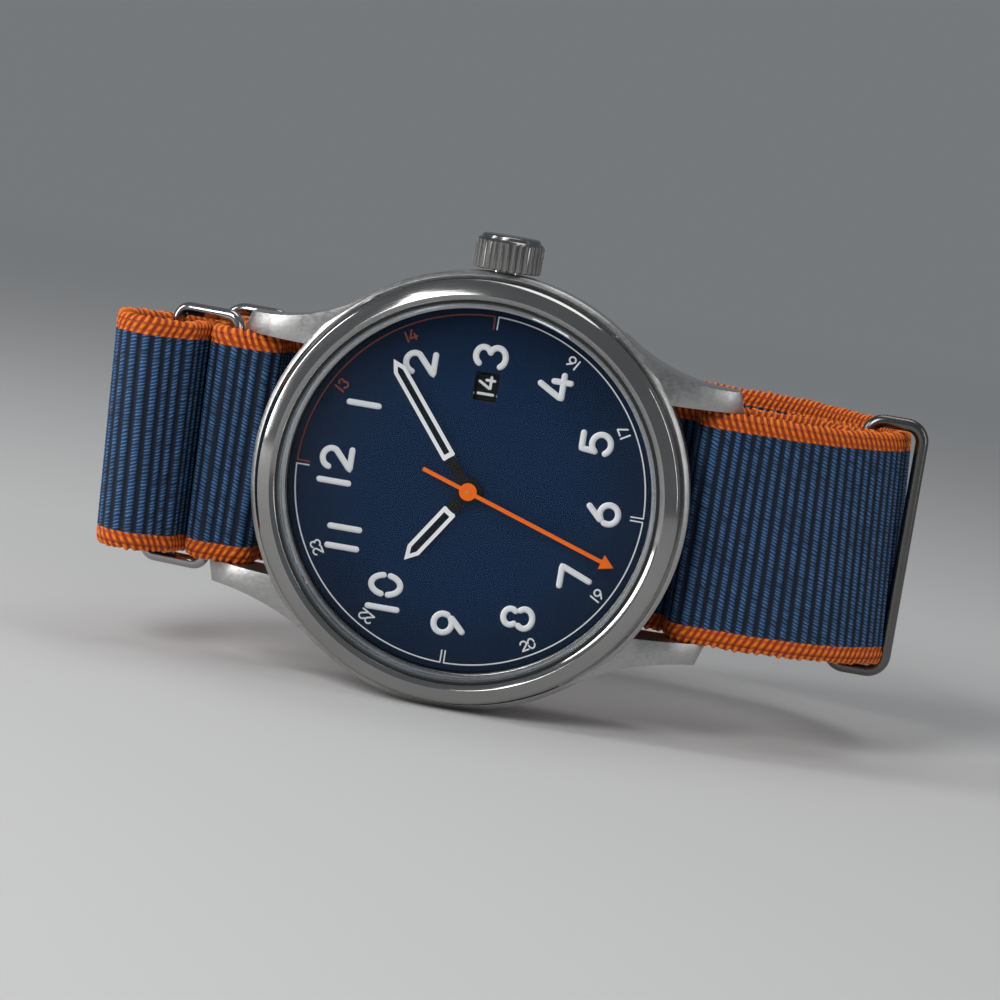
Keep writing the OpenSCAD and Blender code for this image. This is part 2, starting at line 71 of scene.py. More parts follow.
# lengths are in millimetres, and MM turns them into metres
MM = 0.001
DIAL_DEPTH = 3.3  # the dial's face below the crystal's
DATE_FACE = 3.78  # the date ring's face below the crystal's
CRYSTAL_FLAT_R = 17.15  # where the crystal's ground edge starts
WEB_HALF = 10.85  # half of the webbing's width
WEB_T = 1.0  # the webbing's thickness
RIB = 0.97  # from one rib to the next
SELVEDGE = 1.45  # width of each orange edge
EDGE_ROWS = 2.2  # rows of knots across an edge
KNOTS = 1.5  # knots along an edge for each rib
BUCKLE_AT = (-14.0, 34.0)  # middle of the buckle's bar, as (x, y)
LEAN_RIGHT, LEAN_LEFT = 0.075, 0.05  # lean of the strap's lobes, as shares of the place in Z


# ---- nodes -----------------------------------------------------------------

class Nodes:
    """Builds one material's nodes with short calls."""

    def __init__(self, name):
        self.mat = bpy.data.materials.new(name)
        self.mat.use_nodes = True
        self.tree = self.mat.node_tree
        self.tree.nodes.clear()
        self.out = self.tree.nodes.new("ShaderNodeOutputMaterial")
        self.bsdf = self.tree.nodes.new("ShaderNodeBsdfPrincipled")
        self.link(self.bsdf.outputs[0], self.out.inputs[0])

    def link(self, a, b):
        self.tree.links.new(a, b)

    def put(self, value, socket):
        if isinstance(value, bpy.types.NodeSocket):
            self.link(value, socket)
        elif value is not None:
            socket.default_value = value

    def set(self, **sockets):
        for name, value in sockets.items():
            self.put(value, self.bsdf.inputs[name.replace("_", " ")])

    def math(self, op, a, b=None, c=None):
        n = self.tree.nodes.new("ShaderNodeMath")
        n.operation = op
        for i, v in enumerate((a, b, c)):
            self.put(v, n.inputs[i])
        return n.outputs[0]

    def coords(self, kind="Object"):
        return self.tree.nodes.new("ShaderNodeTexCoord").outputs[kind]

    def split(self, vector):
        n = self.tree.nodes.new("ShaderNodeSeparateXYZ")
        self.link(vector, n.inputs[0])
        return n.outputs

    def join(self, x, y, z):
        n = self.tree.nodes.new("ShaderNodeCombineXYZ")
        for i, v in enumerate((x, y, z)):
            self.put(v, n.inputs[i])
        return n.outputs[0]

    def noise(self, vector, scale, detail=2.0, rough=0.5):
        n = self.tree.nodes.new("ShaderNodeTexNoise")
        self.link(vector, n.inputs["Vector"])
        n.inputs["Scale"].default_value = scale
        n.inputs["Detail"].default_value = detail
        n.inputs["Roughness"].default_value = rough
        return n.outputs[0]

    def fit(self, value, lo, hi, to_lo=0.0, to_hi=1.0, smooth=False):
        n = self.tree.nodes.new("ShaderNodeMapRange")
        n.interpolation_type = "SMOOTHSTEP" if smooth else "LINEAR"
        for i, v in enumerate((value, lo, hi, to_lo, to_hi)):
            self.put(v, n.inputs[i])
        return n.outputs[0]

    def mix(self, share, a, b):
        n = self.tree.nodes.new("ShaderNodeMix")
        n.data_type = "RGBA"
        self.put(share, n.inputs[0])
        self.put(a, n.inputs[6])
        self.put(b, n.inputs[7])
        return n.outputs[2]

    def radius(self, a, b):
        """The length of the flat vector (a, b)."""
        squares = self.math("ADD", self.math("MULTIPLY", a, a), self.math("MULTIPLY", b, b))
        return self.math("SQRT", squares)

    def wave(self, turns):
        """The cosine of a number of turns."""
        return self.math("COSINE", self.math("MULTIPLY", turns, 2 * math.pi))

    def scaled(self, vector, by):
        n = self.tree.nodes.new("ShaderNodeVectorMath")
        n.operation = "MULTIPLY"
        self.link(vector, n.inputs[0])
        n.inputs[1].default_value = by
        return n.outputs[0]

    def bump(self, height, distance, strength=1.0):
        n = self.tree.nodes.new("ShaderNodeBump")
        n.inputs["Strength"].default_value = strength
        n.inputs["Distance"].default_value = distance
        self.link(height, n.inputs["Height"])
        self.link(n.outputs[0], self.bsdf.inputs["Normal"])


def rgb(r, g, b):
    return (r, g, b, 1.0)


def brushed(name, colour, rough, grain, stretch, bump=0.006, spread=0.08):
    """Metal with a straight grain: stretch says how much finer it is along each axis."""
    m = Nodes(name)
    p = m.scaled(m.coords(), stretch)
    fine = m.noise(p, grain, 3.0, 0.6)
    broad = m.noise(m.coords(), 180.0, 3.0)
    dark = tuple(c * 0.82 for c in colour[:3]) + (1.0,)
    m.set(Base_Color=m.mix(m.fit(fine, 0.3, 0.7), dark, colour), Metallic=1.0,
          Roughness=m.math("ADD", m.fit(fine, 0.2, 0.8, rough - spread, rough + spread),
                           m.fit(broad, 0.3, 0.7, -0.03, 0.03)))
    m.bump(fine, bump * MM)
    return m.mat


def turned_metal(name, colour, rough, bump):
    """Metal with a grain that runs in circles about the hands' axis."""
    m = Nodes(name)
    x, y, z = m.split(m.coords())
    radius = m.radius(x, z)
    angle = m.math("ARCTAN2", z, x)
    fine = m.noise(m.join(m.math("MULTIPLY", radius, 9000.0), m.math("MULTIPLY", angle, 3.0),
                          m.math("MULTIPLY", y, 9000.0)), 1.0, 3.0, 0.6)
    broad = m.noise(m.coords(), 120.0, 4.0)
    dark = tuple(c * 0.9 for c in colour[:3]) + (1.0,)
    m.set(Base_Color=m.mix(m.fit(broad, 0.3, 0.7), dark, colour), Metallic=1.0,
          Roughness=m.math("ADD", m.fit(fine, 0.2, 0.8, rough - 0.06, rough + 0.06),
                           m.fit(broad, 0.3, 0.7, -0.03, 0.03)))
    m.bump(fine, bump * MM)
    return m.mat


def coated(name, colour, rough, metallic=0.0, grain=9000.0, bump=0.002, coat=0.0, shine=0.5):
    """Paint, plastic, rubber or plating with a fine even surface."""
    m = Nodes(name)
    fine = m.noise(m.coords(), grain, 2.0)
    broad = m.noise(m.coords(), 260.0, 3.0)
    dark = tuple(c * 0.88 for c in colour[:3]) + (1.0,)
    m.set(Base_Color=m.mix(broad, dark, colour), Metallic=metallic, Coat_Weight=coat,
          Specular_IOR_Level=shine, Roughness=m.fit(fine, 0.3, 0.7, rough - 0.04, rough + 0.04))
    m.bump(fine, bump * MM)
    return m.mat


def dial_paint():
    """Deep navy lacquer with a fine metallic flake and a darker rim."""
    m = Nodes("dial_lacquer")
    x, _, z = m.split(m.coords())
    radius = m.radius(x, z)
    flake = m.noise(m.coords(), 16000.0, 2.0)
    centre = m.mix(m.fit(flake, 0.3, 0.75), rgb(0.0036, 0.019, 0.062), rgb(0.0042, 0.022, 0.070))
    rim = rgb(0.0028, 0.013, 0.038)
    m.set(Base_Color=m.mix(m.fit(radius, 9.0 * MM, 17.2 * MM, smooth=True), centre, rim),
          Metallic=0.3, Roughness=m.fit(flake, 0.3, 0.7, 0.42, 0.5), Specular_IOR_Level=0.1)
    m.bump(flake, 0.00015 * MM)
    return m.mat


def hand_paint(name, base_end):
    """White lacquered hand whose inner part, out to base_end, is black."""
    m = Nodes(name)
    x, _, z = m.split(m.coords())
    radius = m.radius(x, z)
    white = m.math("GREATER_THAN", radius, base_end * MM)
    fine = m.noise(m.coords(), 7000.0)
    shade = m.mix(fine, rgb(0.80, 0.82, 0.84), rgb(0.92, 0.93, 0.94))
    m.set(Base_Color=m.mix(white, rgb(0.005, 0.005, 0.006), shade), Specular_IOR_Level=0.2,
          Roughness=m.fit(fine, 0.3, 0.7, 0.3, 0.4))
    m.bump(fine, 0.002 * MM)
    return m.mat


def crystal_glass():
    """A clear plate with a faint reflection, stronger on its ground edge."""
    m = Nodes("crystal_clear")
    x, _, z = m.split(m.coords())
    radius = m.radius(x, z)
    smear = m.noise(m.coords(), 90.0, 4.0)
    m.set(Base_Color=rgb(0.80, 0.90, 1.0), Metallic=1.0, Roughness=m.fit(smear, 0.3, 0.7, 0.02, 0.05),
          Alpha=m.fit(radius, CRYSTAL_FLAT_R * MM, (CRYSTAL_FLAT_R + 0.15) * MM, 0.007, 0.25))
    return m.mat


def webbing_yarn():
    """Ribbed webbing: UV is (distance along, distance across) in millimetres."""
    m = Nodes("woven_webbing")
    u, v, _ = m.split(m.coords("UV"))
    turns = m.math("DIVIDE", u, RIB)
    # painted light and shade on the navy: the ribs' crests and the yarns' middles are painted light, the
    # valleys between ribs and the gaps between yarns are painted dark, and each yarn also gets a random
    # tone
    crest = m.fit(m.wave(turns), -0.7, 0.8, smooth=True)
    wander = m.noise(m.join(m.math("MULTIPLY", u, 0.35), m.math("MULTIPLY", v, 0.5), 0.0), 1.0, 3.0)
    slant = m.math("ADD", m.math("DIVIDE", v, 0.33), m.math("MULTIPLY", turns, 1.25))
    slant = m.math("ADD", slant, m.math("MULTIPLY", wander, 2.0))
    strand = m.fit(m.wave(slant), -0.55, 0.95, smooth=True)
    each = m.noise(m.join(m.math("MULTIPLY", m.math("FLOOR", m.math("ADD", turns, 0.5)), 7.13),
                          m.math("MULTIPLY", m.math("FLOOR", slant), 3.7), 0.0), 1.0, 0.0)
    lit = m.math("MULTIPLY", crest, m.math("ADD", 0.16, m.math("MULTIPLY", strand, 0.84)))
    lit = m.math("MULTIPLY", lit, m.fit(each, 0.25, 0.75, 0.35, 1.5))
    navy = m.mix(lit, rgb(0.0022, 0.0075, 0.022), rgb(0.078, 0.215, 0.48))
    across = m.math("ABSOLUTE", v)
    row = m.math("MULTIPLY", m.math("SUBTRACT", across, WEB_HALF - SELVEDGE), EDGE_ROWS / SELVEDGE)
    # painted light and shade on the orange edges: the knots' tops are painted light, and the gaps between
    # knots and the lines between rows are painted dark; hair adds a random fuzz of tone
    knot_u = m.math("ADD", m.math("MULTIPLY", turns, KNOTS), m.math("MULTIPLY", row, 0.5))
    knot = m.math("MULTIPLY",
                  m.fit(m.wave(knot_u), -0.9, 0.6, smooth=True),
                  m.fit(m.wave(row), -1.0, 0.1, 0.45, 1.0))
    hair = m.noise(m.join(m.math("MULTIPLY", u, 14.0), m.math("MULTIPLY", v, 5.0), 0.0), 1.0, 2.0)
    orange_lit_and_shaded = m.mix(m.math("MULTIPLY", knot, m.fit(hair, 0.2, 0.8, 0.6, 1.1)),
                  rgb(0.36, 0.036, 0.003), rgb(1.0, 0.24, 0.016))
    edge = m.fit(m.math("ADD", across, m.math("MULTIPLY", wander, 0.16)),
                 WEB_HALF - SELVEDGE + 0.02, WEB_HALF - SELVEDGE + 0.1)
    height = m.mix(edge, m.join(m.math("ADD", m.math("MULTIPLY", lit, 0.8),
                                       m.math("MULTIPLY", hair, 0.1)), 0.0, 0.0),
                   m.join(m.math("ADD", knot, m.math("MULTIPLY", hair, 0.25)), 0.0, 0.0))
    m.set(Base_Color=m.mix(edge, navy, orange_lit_and_shaded), Roughness=m.fit(hair, 0.3, 0.7, 0.55, 0.72),
          Sheen_Weight=0.08, Sheen_Roughness=0.45, Sheen_Tint=rgb(0.6, 0.75, 1.0),
          Specular_IOR_Level=0.3)
    m.bump(m.split(height)[0], 0.11 * MM)
    return m.mat


def thread_yarn():
    m = Nodes("sewing_thread")
    x, y, z = m.split(m.coords())
    twist = m.math("SINE", m.math("MULTIPLY", m.math("ADD", z, m.math("ADD", x, y)), 30000.0))
    # painted shade: the thread is darker in the grooves of its twist, where the bump is low
    m.set(Base_Color=m.mix(m.fit(twist, -1.0, 1.0), rgb(0.005, 0.012, 0.03), rgb(0.02, 0.05, 0.12)),
          Roughness=0.7, Sheen_Weight=0.2)
    m.bump(twist, 0.03 * MM)
    return m.mat


MATS = {
    "case_steel": brushed("satin_steel", rgb(0.46, 0.455, 0.45), 0.34, 2600.0, (0.5, 2.0, 1.6), 0.010),
    "bezel": turned_metal("bezel_steel", rgb(0.37, 0.365, 0.36), 0.11, 0.0012),
    "polished_steel": turned_metal("polished_steel", rgb(0.55, 0.55, 0.555), 0.14, 0.0008),
    "crown_steel": brushed("crown_steel", rgb(0.27, 0.265, 0.26), 0.22, 2000.0, (1.0, 1.0, 0.2), 0.0015),
    "wire_steel": coated("wire_steel", rgb(0.42, 0.42, 0.43), 0.15, 1.0, 5000.0, 0.003),
    "dark_ring": coated("dark_wire_steel", rgb(0.16, 0.155, 0.15), 0.24, 1.0, 5000.0, 0.003),
    "crystal_glass": crystal_glass(),
    "seal_rubber": coated("seal_rubber", rgb(0.02, 0.02, 0.02), 0.7, 0.0, 4000.0, 0.01),
    "flange_black": turned_metal("flange_dark", rgb(0.05, 0.065, 0.09), 0.16, 0.0008),
    "holder_plastic": coated("holder_plastic", rgb(0.78, 0.78, 0.73), 0.5, 0.0, 3000.0, 0.006),
    "dial_blue": dial_paint(),
    "date_black": coated("date_ring_black", rgb(0.003, 0.003, 0.0035), 0.5, shine=0.1),
    "hand_white": hand_paint("hour_hand_paint", 2.55),
    "minute_white": hand_paint("minute_hand_paint", 3.6),
    "hand_slot": coated("hand_fill_dark", rgb(0.004, 0.008, 0.016), 0.5, shine=0.08),
    "hand_orange": coated("seconds_hand_orange", rgb(0.95, 0.165, 0.004), 0.4, 0.0, 7000.0, 0.001,
                          shine=0.15),
    "brass": turned_metal("machined_brass", rgb(0.74, 0.55, 0.24), 0.26, 0.001),
    "movement_nickel": brushed("nickel_plate", rgb(0.62, 0.62, 0.60), 0.24, 3000.0, (0.5, 2.0, 2.0), 0.004),
    "wheel_plastic": coated("wheel_plastic", rgb(0.82, 0.81, 0.72), 0.4),
    "coil_copper": brushed("coil_wire", rgb(0.62, 0.20, 0.07), 0.32, 2500.0, (0.6, 0.6, 6.0), 0.02),
    "board_green": coated("board_green", rgb(0.015, 0.13, 0.05), 0.36, 0.0, 2500.0, 0.01, 0.4),
    "webbing": webbing_yarn(),
    "print_white": coated("print_white", rgb(0.84, 0.86, 0.88), 0.42, 0.0, 9000.0, 0.004),
    "print_red": coated("print_red", rgb(0.30, 0.045, 0.018), 0.5),
    "thread": thread_yarn(),
}


# ---- meshes ----------------------------------------------------------------

def add_mesh(name, verts, faces, mat, uvs=None):
    """A mesh object from row-frame points in millimetres; uvs has one pair per face corner."""
    mesh = bpy.data.meshes.new(name)
    mesh.from_pydata([tuple(c * MM for c in v) for v in verts], [], faces)
    mesh.materials.append(mat)
    mesh.polygons.foreach_set("use_smooth", [True] * len(mesh.polygons))
    if uvs is not None:
        layer = mesh.uv_layers.new(name="weave")
        layer.data.foreach_set("uv", np.asarray(uvs, np.float32).ravel())
    mesh.update()
    obj = bpy.data.objects.new(name, mesh)
    bpy.context.scene.collection.objects.link(obj)
    return obj


def edge_softened(node, width):
    """A copy of a CAD node with its sharp edges rounded, standing for the node."""
    source = frame["nodes"][node]
    obj = bpy.data.objects.new(node + "_finished", source.data.copy())
    bpy.context.scene.collection.objects.link(obj)
    weld = obj.modifiers.new("weld", "WELD")
    weld.merge_threshold = 0.0005 * MM
    flat = obj.modifiers.new("flat", "DECIMATE")
    flat.decimate_type = "DISSOLVE"
    flat.angle_limit = math.radians(0.5)
    bevel = obj.modifiers.new("bevel", "BEVEL")
    bevel.width = width * MM
    bevel.segments = 3
    bevel.limit_method = "ANGLE"
    bevel.angle_limit = math.radians(32.0)
    bevel.harden_normals = True
    bevel.use_clamp_overlap = True
    for p in obj.data.polygons:
        p.use_smooth = True
    return obj


def round_corners(points, radius, steps=3):
    """Replaces each corner of a closed profile by a small curve."""
    out = []
    n = len(points)
    for i in range(n):
        a, b, c = (np.array(points[(i + k) % n], float) for k in (-1, 0, 1))
        u, v = a - b, c - b
        lu, lv = np.linalg.norm(u), np.linalg.norm(v)
        r = min(radius, lu * 0.4, lv * 0.4)
        p, q = b + u / lu * r, b + v / lv * r
        for k in range(steps + 1):
            t = k / steps
            out.append(tuple((1 - t) ** 2 * p + 2 * t * (1 - t) * b + t * t * q))
    return out


def lathe(name, profile, mat, corner, segments=256):
    """A ring turned about the hands' axis from a closed profile of (radius, depth)."""
    ring = round_corners(profile, corner)
    k = len(ring)
    verts = []
    for i in range(segments):
        a = 2 * math.pi * i / segments
        verts += [(r * math.cos(a), d, r * math.sin(a)) for r, d in ring]
    faces = [(i * k + j, i * k + (j + 1) % k, ((i + 1) % segments) * k + (j + 1) % k,
              ((i + 1) % segments) * k + j) for i in range(segments) for j in range(k)]
    return add_mesh(name, verts, faces, mat)


def bend(a, b, c, r):
    """The arc of radius r that rounds the corner b between a and c."""
    u, v = (a - b) / np.linalg.norm(a - b), (c - b) / np.linalg.norm(c - b)
    half = math.acos(max(-1.0, min(1.0, float(u @ v)))) / 2
    centre = b + (u + v) / np.linalg.norm(u + v) * r / math.sin(half)
    p, q = b + u * r / math.tan(half), b + v * r / math.tan(half)
    start = math.atan2(*(p - centre)[::-1])
    turn = (math.atan2(*(q - centre)[::-1]) - start + 3 * math.pi) % (2 * math.pi) - math.pi
    steps = max(3, int(abs(turn) * 14))
    return [centre + r * np.array([math.cos(start + turn * k / steps),
                                   math.sin(start + turn * k / steps)]) for k in range(steps + 1)]


def route_points(corners):
    """The line through a list of corners (x, y, radius), each rounded to its radius."""
    pts = [np.array(corners[0][:2], float)]
    for i in range(1, len(corners) - 1):
        a, b, c = (np.array(corners[i + k][:2], float) for k in (-1, 0, 1))
        pts += bend(a, b, c, corners[i][2])
    return np.array(pts + [np.array(corners[-1][:2], float)])


def resample(points, step):
    """Evenly spaced points along a line, their directions and their distances."""
    seg = np.linalg.norm(np.diff(points, axis=0), axis=1)
    at = np.concatenate([[0], np.cumsum(seg)])
    s = np.linspace(0, at[-1], int(round(at[-1] / step)) + 1)
    p = np.stack([np.interp(s, at, points[:, k]) for k in (0, 1)], -1)
    for _ in range(3):
        p[1:-1] = (p[:-2] + 2 * p[1:-1] + p[2:]) / 4
    t = np.gradient(p, axis=0)
    return p, t / np.linalg.norm(t, axis=1)[:, None], s


def lean(x, z):
    """The closed strap stands a little skew: each lobe leans along Z."""
    right = np.clip((x - 23) / 15, 0, 1)
    left = np.clip((-23 - x) / 8, 0, 1)
    right = right * right * (3 - 2 * right)
    left = left * left * (3 - 2 * left)
    return -z * (LEAN_RIGHT * right + LEAN_LEFT * left)


def web_section():
    """The webbing's cross-section once round, as rows of z, y and the normal's z and y."""
    half_t = WEB_T / 2
    inner = WEB_HALF - SELVEDGE
    flat = np.linspace(-inner, inner, 14)
    rim = inner + SELVEDGE * np.linspace(0, 1, 9)[1:-1] * 0.86
    nose = half_t * 0.9
    edge = [(WEB_HALF - nose + nose * math.cos(a), half_t * math.sin(a), math.cos(a), math.sin(a))
            for a in np.radians(np.linspace(90, -90, 9))]
    top = [(z, half_t, 0, 1) for z in (*flat, *rim)]
    under = [(z, -half_t, 0, -1) for z in (*rim[::-1], *flat[::-1])]
    far_under = [(-z, -half_t, 0, -1) for z in rim]
    far_edge = [(-z, y, -nz, ny) for z, y, nz, ny in edge[::-1]]
    far_top = [(-z, half_t, 0, 1) for z in rim[::-1]]
    return np.array(top + edge + under + far_under + far_edge + far_top, float).T


def web_lift(s, z, nz):
    """How far the ribs and knots stand out at each distance s and place z across."""
    inner = WEB_HALF - SELVEDGE
    phase = 2 * np.pi * s[:, None] / RIB
    rib = 0.5 + 0.5 * np.cos(phase)
    row = (np.abs(z) - inner) * EDGE_ROWS / SELVEDGE
    knots = 0.5 + 0.5 * np.cos(KNOTS * phase + np.pi * row)
    rows = 0.5 + 0.5 * np.cos(2 * np.pi * row)
    in_edge = np.clip((np.abs(z) - inner) / 0.25, 0, 1)
    lift = ((1 - in_edge) * (0.20 * rib ** 0.8 - 0.05)
            + in_edge * (0.02 + 0.17 * knots * (0.45 + 0.55 * rows)))
    wobble = 0.05 * np.sin(s / 2.3)[:, None] + 0.04 * np.sin(s / 0.83 + 1.0)[:, None]
    scallop = np.abs(nz) * (0.16 * rib + wobble)
    return lift, scallop


def webbing(name, corners, body="case"):
    """A band of ribbed webbing that follows a route, with knotted selvedges."""
    p, t, s = resample(route_points(corners), RIB / 10)
    n = np.stack([-t[:, 1], t[:, 0]], -1)
    sec_z, sec_y, nz, ny = web_section()
    lift, scallop = web_lift(s, sec_z, nz)
    out = sec_y + lift * ny
    z = sec_z + (lift + scallop) * nz
    x = p[:, 0:1] + n[:, 0:1] * out
    y = p[:, 1:2] + n[:, 1:2] * out
    verts = np.stack([x + lean(x, z), y, z], -1).reshape(-1, 3)
    k, count = len(sec_z), len(s)
    faces, uvs = [], []
    for i in range(count - 1):
        for j in range(k):
            j2 = (j + 1) % k
            faces.append((i * k + j, i * k + j2, (i + 1) * k + j2, (i + 1) * k + j))
            v1, v2 = sec_z[j], sec_z[j2]
            uvs += [(s[i], v1), (s[i], v2), (s[i + 1], v2), (s[i + 1], v1)]
    for end, order in ((0, 1), (count - 1, -1)):
        face = [end * k + j for j in range(k)][::-order]
        faces.append(tuple(face))
        uvs += [(s[end], sec_z[f % k]) for f in face]
    obj = add_mesh(name, verts.tolist(), faces, MATS["webbing"], uvs)
    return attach(obj, body)


CAP_ANGLES = (12, 35, 62)  # steps of a stroke's round end, in degrees


def cap(end, along, outward, angles):
    """Rounds off a stroke's end: (middle, direction, share of the width) for each angle."""
    out = []
    for angle in angles:
        a = math.radians(angle)
        out.append((end + outward * math.cos(a), along, math.sin(a)))
    return out


def strokes(name, lines, body, mat, depth, half_w, height):
    """Raised printing: rounded ridges along lines given in the dial's X-Z plane."""
    verts, faces = [], []
    across = np.linspace(-1, 1, 9)
    dome = np.sqrt(np.clip(1 - np.abs(across) ** 2.6, 0, 1))
    for line in lines:
        pts = np.array(line, float)
        t = np.gradient(pts, axis=0)
        t /= np.linalg.norm(t, axis=1)[:, None]
        rings = cap(pts[0], t[0], -t[0] * half_w, CAP_ANGLES)
        rings += [(q, d, 1.0) for q, d in zip(pts, t)]
        rings += cap(pts[-1], t[-1], t[-1] * half_w, CAP_ANGLES[::-1])
        base = len(verts)
        for q, d, w in rings:
            side = np.array([-d[1], d[0]])
            for c, h in zip(across, dome):
                g = q + side * c * half_w * w
                verts.append((g[0], depth - height * h * min(1.0, w * 1.15), g[1]))
        wide = len(across)
        for i in range(len(rings) - 1):
            for j in range(wide - 1):
                a = base + i * wide + j
                faces.append((a, a + 1, a + wide + 1, a + wide))
    obj = add_mesh(name, verts, faces, mat)
    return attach(obj, body)


# ---- figures ---------------------------------------------------------------

def arc(cx, cy, rx, ry, a0, a1, steps=18):
    return [(cx + rx * math.cos(math.radians(a0 + (a1 - a0) * k / steps)),
             cy + ry * math.sin(math.radians(a0 + (a1 - a0) * k / steps))) for k in range(steps + 1)]


def dense(points, step=0.12):
    """Adds points along straight runs, so that ridges keep their width in corners."""
    out = [points[0]]
    for a, b in zip(points, points[1:]):
        n = max(1, int(math.dist(a, b) / step))
        out += [(a[0] + (b[0] - a[0]) * k / n, a[1] + (b[1] - a[1]) * k / n) for k in range(1, n + 1)]
    return out


# figures 0-9 as strokes on a body 3.1 high and 2.2 wide about its middle
FIGURES = {
    "0": [arc(0, 0, 0.92, 1.38, 14, 166), arc(0, 0, 0.92, 1.38, 194, 346)],
    "1": [[(0, 1.38), (0, -1.38)]],
    "2": [arc(-0.02, 0.56, 0.88, 0.82, 168, -28) + [(-0.9, -1.3), (0.95, -1.3)]],
    "3": [arc(-0.05, 0.68, 0.82, 0.70, 152, -62), arc(-0.05, -0.62, 0.92, 0.78, 62, -152)],
    "4": [[(0.05, 1.38), (-1.05, -0.55)], [(-1.05, -0.72), (1.05, -0.72)], [(0.42, 0.15), (0.42, -1.38)]],
    "5": [[(0.82, 1.32), (-0.62, 1.32), (-0.72, 0.32)], arc(-0.02, -0.46, 0.92, 0.88, 142, -150)],
    "6": [[(0.55, 1.40), (-0.55, 0.30)], arc(0, -0.50, 0.90, 0.86, 128, -204)],
    "7": [[(-0.95, 1.30), (0.90, 1.30), (-0.15, -1.38)]],
    "8": [arc(0, 0.68, 0.76, 0.66, -38, 218), arc(0, -0.64, 0.92, 0.76, 142, 398)],
    "9": [[(-0.55, -1.40), (0.55, -0.30)], arc(0, 0.50, 0.90, 0.86, -52, -384)],
}
NARROW = {"1": 0.72}  # a 1 takes less room


def figures(text, at, size, up, spacing=2.55):
    """Strokes of a number centred at (x, z), with its top towards the direction up in degrees."""
    wide = [NARROW.get(c, 1.0) * spacing for c in text]
    left = -sum(wide) / 2
    c, s = math.cos(math.radians(up)), math.sin(math.radians(up))
    out = []
    for ch, w in zip(text, wide):
        mid = left + w / 2
        left += w
        for stroke in FIGURES[ch]:
            out.append([(at[0] + size * (y * c + (x + mid) * s),
                         at[1] + size * (y * s - (x + mid) * c)) for x, y in dense(stroke)])
    return out


def clock(radius, hour):
    """The point on the dial at a radius and an hour, as (x, z)."""
    a = math.radians(hour * 30)
    return (-radius * math.cos(a), radius * math.sin(a))


TWELVE_UP = 180.0  # the direction of 12 o'clock, in degrees
HOUR_FIGURES_R = 12.7  # to the middles of the figures 1 to 12
DAY_FIGURES_R = 15.4  # to the middles of the figures 13 to 23
DATE_FIGURES_R = 9.75  # to the middles of the dates
RING_R = 16.4  # the thin minute ring
TICK = 1.15  # length of the ring's ticks, which point inwards
TICK_GAP = 0.62  # degrees from a quarter hour to the tick beside it
SHOWN_DATE = 14

hour_lines = []
for hour in range(1, 13):
    hour_lines += figures(str(hour), clock(HOUR_FIGURES_R, hour), 1.0, TWELVE_UP)
strokes("dial_hour_figures", hour_lines, "case", MATS["print_white"],
        DIAL_DEPTH, 0.29, 0.15)


def quarter(first):
    """The minute ring's line from one quarter to the next, with a tick at each end."""
    a0, a1 = first + TICK_GAP / 30, first + 3 - TICK_GAP / 30
    line = [clock(RING_R, a0 + (a1 - a0) * k / 60) for k in range(61)]
    return [line, dense([clock(RING_R, a0), clock(RING_R - TICK, a0)]),
            dense([clock(RING_R, a1), clock(RING_R - TICK, a1)])]


white_lines, red_lines = [], quarter(0)
for first in (3, 6, 9):
    white_lines += quarter(first)
strokes("dial_ring_white", white_lines, "case", MATS["print_white"],
        DIAL_DEPTH, 0.065, 0.03)
strokes("dial_ring_red", red_lines, "case", MATS["print_red"],
        DIAL_DEPTH, 0.06, 0.03)

# the figures 13 to 23 have their tops outwards in the upper half and inwards in the lower one
small_white, small_red = [], []
for hour in (1, 2, 4, 5, 7, 8, 10, 11):
    a = math.degrees(math.atan2(*clock(1.0, hour)[::-1]))
    flip = 180 if 3 < hour < 9 else 0
    lines = figures(str(hour + 12), clock(DAY_FIGURES_R, hour), 0.33, a + flip, 2.2)
    (small_red if hour < 3 else small_white).extend(lines)
strokes("dial_day_figures", small_white, "case", MATS["print_white"],
        DIAL_DEPTH, 0.08, 0.03)
strokes("dial_day_figures_red", small_red, "case", MATS["print_red"],
        DIAL_DEPTH, 0.085, 0.03)

# the date ring carries all its days, and the shown one is in the window
date_lines = []
for day in range(1, 32):
    turn = math.radians((day - SHOWN_DATE) * 360 / 31)
    for line in figures(str(day), (0.0, DATE_FIGURES_R), 0.50, TWELVE_UP):
        date_lines.append([(x * math.cos(turn) - z * math.sin(turn),
                            x * math.sin(turn) + z * math.cos(turn)) for x, z in line])
strokes("date_figures", date_lines, "date", MATS["print_white"],
        DATE_FACE, 0.13, 0.02)


# ---- webbing ---------------------------------------------------------------

UNDER_CASE = 10.9  # depth of the main webbing's middle line behind the case
EYE = 1.5  # radius of the webbing's turn about the buckle's bar
ALONG = np.array([0.693, 0.721])  # the strap's direction at the buckle
OUTWARD = np.array([-0.721, 0.693])  # away from the wrist there


def spot(along, outward, r):
    """A corner given by its place along and out of the strap at the buckle."""
    q = np.array(BUCKLE_AT) + ALONG * along + OUTWARD * outward
    return (q[0], q[1], r)


